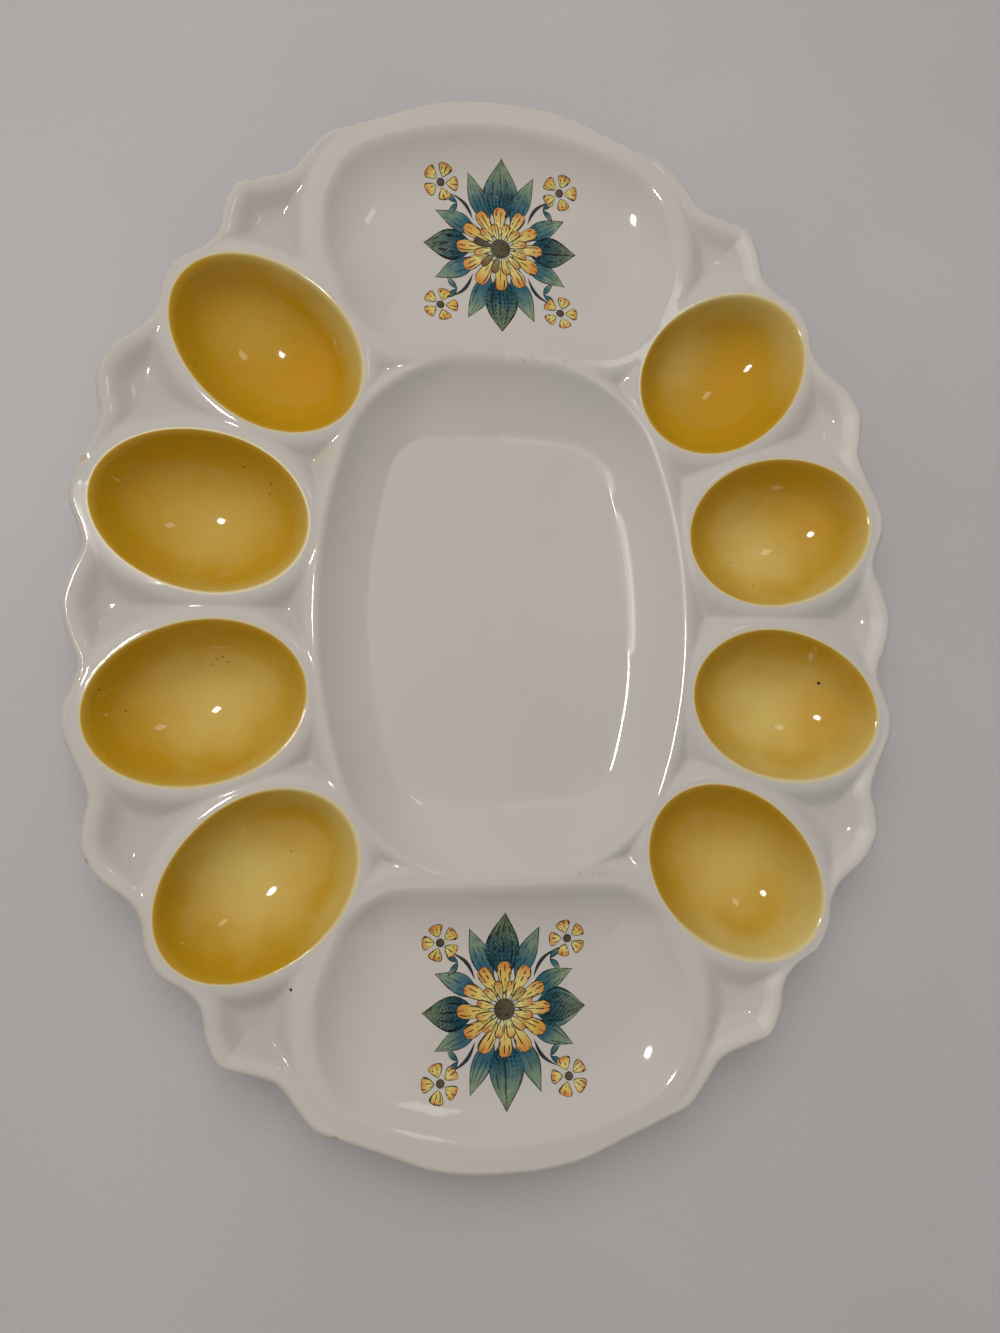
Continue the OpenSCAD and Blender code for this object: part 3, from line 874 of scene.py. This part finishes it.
fine = ease(airbrush_and_light, spatter, 0.3, 0.7, -0.035, 0.035)
# Pale patch: partly the spray's paler yellow, partly painted light
pale = calc(airbrush_and_light, "ADD", spray_patch("Pale middle", "Pale reach", "Pale share"), fine)
warm = spray_patch("Warm middle", "Warm reach", "Warm share")
colour = tint(airbrush_and_light, pale, deep_amber, pale_yellow_and_light)
colour = tint(airbrush_and_light, warm, colour, warm_orange)
facing = calc_vector(airbrush_and_light, "NORMALIZE", takes["Place"])
facing = calc_vector(airbrush_and_light, "DOT_PRODUCT", facing, takes["Fade towards"])
fade_run = calc(airbrush_and_light, "DIVIDE", takes["Depth"], takes["Fade reach"])
fade_run = calc(airbrush_and_light, "MULTIPLY_ADD", drift, 0.7, calc(airbrush_and_light, "SUBTRACT", fade_run, 0.35))
faded = calc(airbrush_and_light, "MULTIPLY", ease(airbrush_and_light, fade_run, 0.1, 1.1, 1.0, 0.0),
             ease(airbrush_and_light, facing, -0.1, 0.8))
faded = calc(airbrush_and_light, "MULTIPLY", faded, takes["Fade share"])
colour = tint(airbrush_and_light, calc(airbrush_and_light, "ADD", faded, fine), colour, fade_cream)
lip_run = calc(airbrush_and_light, "MULTIPLY_ADD", faded, 1.4, 0.35)
thinning = ease(airbrush_and_light, takes["Depth"], -0.3, lip_run)
airbrush_and_light.links.new(tint(airbrush_and_light, thinning, lip_white, colour), gives["Colour"])
airbrush_and_light.links.new(thinning, gives["Cover"])

lining_shares = (0.07, 0.15, 0.24, 0.33, 0.42, 0.51, 0.59, 0.67, 0.74, 0.8, 0.85, 0.89, 0.925,
                 0.955, 0.975, 0.99)
lining_grows = (0.0, 0.17, 0.34, lining_edge)


def lining_mesh(side, number, material):
    """Thin closed skin of coloured glaze in one well, out to just over its lip."""
    rings = [np.zeros((1, 2))] + [egg_ring(0, well_count, share) for share in lining_shares]
    rings += [egg_ring(grow, well_count) for grow in lining_grows]
    local = np.vstack(rings)
    depth = -well_distance(*local.T)
    plan = in_well(local, side, number)
    front = top_height(plan)
    back = front - lining_t * glide(depth, -lining_edge, lining_full)
    rim = len(local) - well_count
    turn = [(i, (i + 1) % well_count) for i in range(well_count)]
    up = [(first + i, first + well_count + i, first + well_count + j, first + j)
          for first in range(1, rim, well_count) for i, j in turn]
    up += [(0, 1 + i, 1 + j) for i, j in turn]
    down = [tuple(v if v >= rim else v + len(local) for v in face)[::-1] for face in up]
    if (side == "left") != (number > 2):
        up, down = [face[::-1] for face in up], [face[::-1] for face in down]
    xyz = np.vstack([np.column_stack([plan, top_z + front]),
                     np.column_stack([plan[:rim], top_z + back[:rim]])])
    normal = slope_normals(top_height, plan, 1)
    normal = np.vstack([normal, -normal[:rim]])
    return link_mesh(
        f"yellow_glaze_{side}_{number}", xyz, up + down, material, normal,
        depth=np.concatenate([depth, depth[:rim]]),
    )


def lining_material(side, number, pale, warm, fade):
    """Airbrushed yellow for one well, with painted light in its pale patch, under a clear gloss.
    """
    material, tree, surface = new_material(
        f"yellow_glaze_{side}_{number}", roughness=0.1, ior=1.5
    )
    place = object_place(tree)
    middle = in_well(np.zeros((1, 2)), side, number)[0] * MM
    depth = mesh_value(tree, "depth")
    towards = Vector((fade[0], fade[1], 0)).normalized()
    start = calc_vector(tree, "SUBTRACT", place, (*middle, 0))
    spray = use_group(
        tree, airbrush_and_light, place=start, depth=depth,
        pale_middle=(pale[0] * MM - middle[0], pale[1] * MM - middle[1], (top_z - pale_d) * MM),
        pale_reach=pale[2] * MM, pale_share=pale[3],
        warm_middle=(warm[0] * MM - middle[0], warm[1] * MM - middle[1], (top_z - warm_d) * MM),
        warm_reach=warm[2] * MM, warm_share=warm[3],
        fade_towards=towards, fade_share=fade[2], fade_reach=fade[3],
    )
    specks = use_group(tree, pinholes, place=place, scale=150.0, share=0.05, size=0.1)["Mask"]
    flat = calc_vector(tree, "MULTIPLY", place, (1, 1, 0))
    for speck_x, speck_y in well_specks.get((side, number), ()):
        speck_at = (speck_x * MM, speck_y * MM, 0)
        gap = calc_vector(tree, "DISTANCE", flat, speck_at)
        spot = calc(tree, "LESS_THAN", gap, speck_r * MM)
        specks = calc(tree, "MAXIMUM", specks, calc(tree, "MULTIPLY", spot, speck_share))
    colour = tint(tree, specks, spray["Colour"], speck_colour)
    tree.links.new(colour, surface.inputs["Base Color"])
    lip = lip_rough.get((side, number), glossy_lip)
    tree.links.new(ease(tree, spray["Cover"], 0, 1, lip, 0.045), surface.inputs["Roughness"])
    set_relief(tree, surface, place, waves=60.0, fine=380.0, dimples=0.2, strength=0.25,
               rise=0.0005)
    return material


for (side, number), sprays in well_sprays_and_light.items():
    lining = lining_mesh(side, number, lining_material(side, number, *sprays))
    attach(lining, "root")
    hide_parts(f"yellow_lining_{side}_{number}")


# The decoration
# Overglaze enamel, painted by hand on the floor of each end compartment and fired on at
# a low heat. It stands a few hundredths of a millimetre proud, with brushed black lines.
print_l, print_w = 58.0, 50.0
petal_lift, leaf_lift, enamel_sink = 0.09, 0.05, 0.1
petals, small_petals = 12, 5
# Where the petals of a layer start and end, as shares of the flower, and their offset, how
# much of the way round they fill, and the share of the spot in the middle
outer_petals, inner_petals = (0.3, 1.0, 0.0), (0.16, 0.62, 0.5)
petal_fill, spot_share = 0.86, 0.22
large_blossom_share, small_blossom_share = 0.25, 0.1
small_place = np.array([0.39, 0.35]) * (print_w, print_l)
leaf_tip_shares = ((0.5, 0), (0.424, 0.194), (0.217, 0.42), (0, 0.5))
leaf_breadth_shares = (0.2, 0.12, 0.12, 0.2)
leaf_root_share, leaf_fullness = 0.6, 1.05
corners = [np.array([x, y]) for x in (-1, 1) for y in (-1, 1)]
stem_shares, stem_w, stem_bend = (0.62, 0.86), 1.1, 1.6
leaflet_turns, leaflet_l, leaflet_w = (0.7, -0.9), 5.2, 1.9
across_steps, along_steps = 9, 24


def petal_width(t):
    """Half breadth along a petal: narrow at the root, full and round at the tip."""
    return t**0.7 * np.sqrt(1 - t**5)


def leaf_width(t):
    """Half breadth along a leaf, pointed at both ends."""
    return np.sin(math.pi * t**0.85) ** 1.1


def disc_width(t):
    """Half breadth along a round spot."""
    return np.sqrt(np.maximum(1 - (2 * t - 1) ** 2, 0))


def brushed_patch(start, end, breadth, profile, bend=0.0, lift=0.0, tone=0.0):
    """One brush mark from start to end, as a grid of places with its own coordinates."""
    along = (1 - np.cos(math.pi * np.linspace(0.004, 0.996, along_steps))) / 2
    across = np.linspace(-1, 1, across_steps)
    start, end = np.array(start, float), np.array(end, float)
    run = end - start
    length = np.hypot(*run)
    side = np.array([-run[1], run[0]]) / length
    line = start + along[:, None] * run + (bend * np.sin(math.pi * along))[:, None] * side
    width = breadth / 2 * profile(along)
    place = line[:, None] + (width[:, None] * across)[..., None] * side
    edge = np.minimum(width[:, None] * (1 - np.abs(across)),
                      np.minimum(along, 1 - along)[:, None] * length)
    count = along_steps * across_steps
    return {
        "place": place.reshape(-1, 2),
        "lift": np.full(count, lift),
        "across": np.tile(across, along_steps),
        "along": np.repeat(along, across_steps),
        "edge": edge.ravel(),
        "tone": np.full(count, tone),
    }


def blossom_patches(centre, reach, count, random):
    """Outer petals, inner petals and the spot in the middle of one flower."""
    centre = np.array(centre, float)
    marks = []
    layers = [(*outer_petals, petal_lift)]
    if count == petals:
        layers.append((*inner_petals, petal_lift + 0.04))
    for root, tip, offset, lift in layers:
        for i in range(count):
            turn = 2 * math.pi * (i + offset) / count
            ray = np.array([math.cos(turn), math.sin(turn)])
            size = reach * tip * random.uniform(0.95, 1.0)
            breadth = 2 * math.pi * size * petal_fill / count * random.uniform(0.93, 1.02)
            marks.append(brushed_patch(
                centre + ray * reach * root, centre + ray * size, breadth, petal_width,
                random.uniform(-0.02, 0.02) * reach, lift, random.uniform(0, 1) + (tip < 1),
            ))
    spot = np.array([reach * spot_share, 0])
    marks.append(brushed_patch(
        centre - spot, centre + spot, 2 * spot[0], disc_width, 0, petal_lift + 0.08, 3.0
    ))
    return marks


def leaf_patches(random):
    """Leaves behind the large flower, with the stems that carry the small ones."""
    marks = []
    reach = print_l * large_blossom_share
    for (tip_x, tip_y), breadth in zip(leaf_tip_shares, leaf_breadth_shares):
        for x in (-1, 1) if tip_x else (1,):
            for y in (-1, 1) if tip_y else (1,):
                tip = np.array([x * tip_x * print_w, y * tip_y * print_l])
                root = tip / np.hypot(*tip) * reach * leaf_root_share
                for way in (1,) if tip_x and tip_y else (1, -1):
                    marks.append(brushed_patch(
                        root * way, tip * way, breadth * print_w * leaf_fullness, leaf_width,
                        random.uniform(-0.8, 0.8), leaf_lift, random.uniform(0, 1),
                    ))
    for corner in corners:
        stem_root = corner * reach * stem_shares[0]
        stem_end = small_place * corner * stem_shares[1]
        marks.append(brushed_patch(
            stem_root, stem_end, stem_w, leaf_width, stem_bend * corner.prod(), leaf_lift + 0.02,
            2.0,
        ))
        middle = (stem_root + stem_end) / 2 + corner * 1.2
        for turn in leaflet_turns:
            ray = np.array([math.cos(turn), math.sin(turn)]) * corner
            marks.append(brushed_patch(
                middle, middle + ray * leaflet_l, leaflet_w, leaf_width, 0.3, leaf_lift + 0.02,
                random.uniform(0, 1),
            ))
    return marks


def enamel_piece(name, marks, end, material):
    """Thin closed skins of enamel that lie on the floor of one end compartment."""
    layers = {key: np.concatenate([mark[key] for mark in marks]) for key in marks[0]}
    plan = (layers.pop("place") + (0, end_middle_y)) * (1 if end == "far" else -1)
    floor_z = top_z + top_height(plan)
    front = np.column_stack([plan, floor_z + layers.pop("lift")])
    back = np.column_stack([plan, floor_z - enamel_sink])
    faces = []
    size = along_steps * across_steps
    for mark in range(len(marks)):
        def at(i, j):
            return mark * size + i * across_steps + j

        for i in range(along_steps - 1):
            for j in range(across_steps - 1):
                quad = (at(i, j), at(i + 1, j), at(i + 1, j + 1), at(i, j + 1))
                faces += [quad, tuple(v + len(front) for v in quad[::-1])]
        border = [at(i, 0) for i in range(along_steps)]
        border += [at(along_steps - 1, j) for j in range(1, across_steps)]
        border += [at(i, across_steps - 1) for i in range(along_steps - 2, -1, -1)]
        border += [at(0, j) for j in range(across_steps - 2, 0, -1)]
        for a, b in zip(border, border[1:] + border[:1]):
            faces.append((b, a, a + len(front), b + len(front)))
    normal = slope_normals(top_height, plan, 1)
    piece = link_mesh(
        name, np.vstack([front, back]), faces, material, np.vstack([normal, -normal]),
        **{key: np.tile(values, 2) for key, values in layers.items()},
    )
    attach(piece, "root")
    return piece


# Brush ink: a broken black outline and dry strokes that run along each mark
brush_ink, takes, gives = new_group(
    "brush_ink",
    {
        "Place": "Vector", "Across": "Float", "Along": "Float", "Edge": "Float",
        "Line width": "Float", "Strokes": "Float", "Stroke width": "Float",
    },
    {"Mask": "Float"},
)
wobble = mottle(brush_ink, takes["Place"], 480.0, 2.0)
line_width = ease(brush_ink, wobble, 0.3, 0.7, 0.5, 1.5)
line_width = calc(brush_ink, "MULTIPLY", takes["Line width"], line_width)
outline = calc(brush_ink, "SUBTRACT", takes["Edge"], line_width)
outline = ease(brush_ink, outline, -0.05, 0.05, 1.0, 0.0)
lane = calc(brush_ink, "MULTIPLY", takes["Across"], takes["Strokes"])
lane = calc(brush_ink, "MULTIPLY_ADD", wobble, 0.35, lane)
from_middle = calc(brush_ink, "PINGPONG", lane, 0.5)
stroke_here = add(brush_ink, "CombineXYZ", {
    "X": calc(brush_ink, "ROUND", lane), "Y": calc(brush_ink, "MULTIPLY", takes["Along"], 2.2),
}).outputs[0]
stroke_at = calc_vector(brush_ink, "MULTIPLY", takes["Place"], (90, 90, 0))
stroke_at = calc_vector(brush_ink, "ADD", stroke_at, stroke_here)
dry = ease(brush_ink, mottle(brush_ink, stroke_at, 1.7, 1.0), 0.44, 0.54)
stroke = ease(brush_ink, from_middle, calc(brush_ink, "MULTIPLY", takes["Stroke width"], 0.6),
              takes["Stroke width"], 1.0, 0.0)
stroke = calc(brush_ink, "MULTIPLY", stroke, dry)
brush_ink.links.new(calc(brush_ink, "MAXIMUM", outline, stroke), gives["Mask"])

ink_colour = (0.012, 0.012, 0.013, 1)
petal_yellow = (0.800, 0.600, 0.120, 1)
petal_lemon = (0.840, 0.740, 0.260, 1)
petal_orange = (0.720, 0.280, 0.050, 1)
leaf_teal = (0.020, 0.110, 0.140, 1)
leaf_blue = (0.035, 0.150, 0.210, 1)
leaf_pale = (0.330, 0.420, 0.230, 1)


def enamel_material(name, under, over, accent, strokes, stroke_width):
    """Painted enamel: two washes, an accent at the end of each mark, and black ink."""
    material, tree, surface = new_material(name, roughness=0.16, ior=1.5)
    place = object_place(tree)
    across, along, edge, tone = (
        mesh_value(tree, key) for key in ("across", "along", "edge", "tone")
    )
    wash = calc(tree, "MULTIPLY_ADD", tone, 0.35, mottle(tree, place, 190.0, 3.0))
    colour = tint(tree, ease(tree, wash, 0.4, 0.95), under, over)
    reach = calc(tree, "MULTIPLY_ADD", mottle(tree, place, 330.0, 2.0), 0.5, along)
    colour = tint(tree, ease(tree, reach, 0.55, 1.3), colour, accent)
    ink = use_group(tree, brush_ink, place=place, across=across, along=along, edge=edge,
                    line_width=0.24, strokes=strokes, stroke_width=stroke_width)["Mask"]
    dark_spot = ease(tree, tone, 1.5, 2.0)
    ink = calc(tree, "MAXIMUM", ink, calc(tree, "MULTIPLY", dark_spot, 0.9))
    tree.links.new(tint(tree, ink, colour, ink_colour), surface.inputs["Base Color"])
    tree.links.new(ease(tree, ink, 0, 1, 0.14, 0.3), surface.inputs["Roughness"])
    set_relief(tree, surface, place, waves=120.0, fine=900.0, dimples=0.5, strength=0.3,
               rise=0.0003)
    return material


blossom_enamel = enamel_material(
    "yellow_enamel", petal_yellow, petal_lemon, petal_orange, strokes=1.5, stroke_width=0.16
)
leaf_enamel = enamel_material(
    "green_enamel", leaf_teal, leaf_blue, leaf_pale, strokes=2.0, stroke_width=0.12
)
for end, seed in (("far", 3), ("near", 4)):
    random = np.random.default_rng(seed)
    flowers = blossom_patches((0, 0), print_l * large_blossom_share, petals, random)
    for corner in corners:
        flowers += blossom_patches(
            small_place * corner, print_l * small_blossom_share, small_petals, random
        )
    blossoms = enamel_piece(f"{end}_painted_blossoms", flowers, end, blossom_enamel)
    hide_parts(f"{end}_blossoms")
    leaves = enamel_piece(f"{end}_painted_leaves", leaf_patches(random), end, leaf_enamel)
    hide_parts(f"{end}_leaves")
